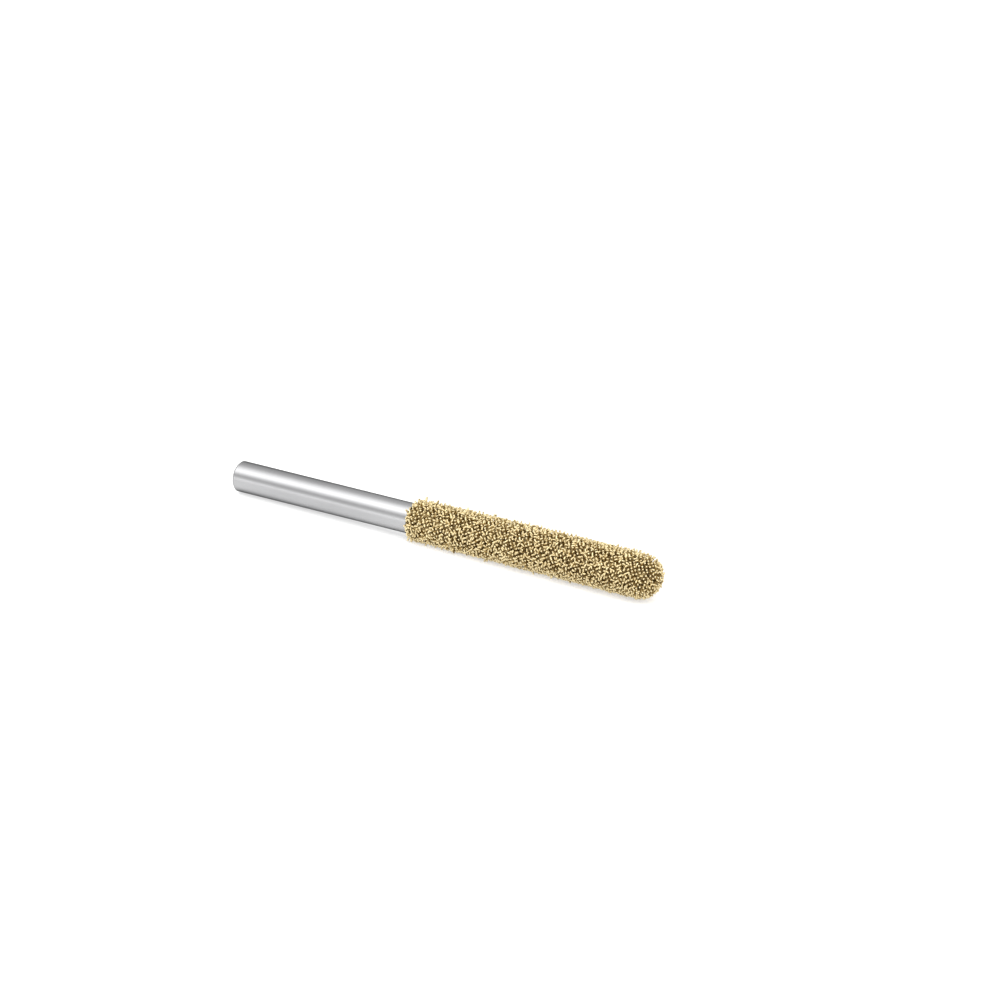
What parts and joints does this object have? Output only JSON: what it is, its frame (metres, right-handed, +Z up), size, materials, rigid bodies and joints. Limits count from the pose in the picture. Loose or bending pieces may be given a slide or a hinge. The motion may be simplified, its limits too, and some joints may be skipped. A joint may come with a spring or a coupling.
{
  "type": "soldering tip cleaning brush",
  "caption": "Small round-nosed brass bristle brush on a plain round steel shank, for cleaning soldering tips by hand or in a collet.",
  "frame": {"origin": "centre of the shank's flat rear face", "axes": "+X along the tool, from the shank's rear face to the nose of the brush; +Z up, with the tool's axis level"},
  "size_m": [0.0476, 0.0046, 0.0046],
  "materials": {
    "ground_steel": "ground, bright",
    "brass_wire": "drawn wire, slightly dull",
    "core_brass": "turned, darkened by heat",
    "hard_solder": "dull, as it froze"
  },
  "bodies": {
    "root": {"shank": "ground_steel", "solder_joint": "hard_solder", "core": "core_brass", "solder_bed": "hard_solder", "bristle_row_01": "brass_wire", "bristle_row_02": "brass_wire", "bristle_row_03": "brass_wire", "bristle_row_04": "brass_wire", "bristle_row_05": "brass_wire", "bristle_row_06": "brass_wire", "bristle_row_07": "brass_wire", "bristle_row_08": "brass_wire", "bristle_row_09": "brass_wire", "bristle_row_10": "brass_wire", "bristle_row_11": "brass_wire", "bristle_row_12": "brass_wire", "bristle_row_13": "brass_wire", "bristle_row_14": "brass_wire", "bristle_row_15": "brass_wire", "bristle_row_16": "brass_wire", "bristle_nose_1": "brass_wire", "bristle_nose_2": "brass_wire", "bristle_nose_3": "brass_wire"}
  },
  "joints": []
}
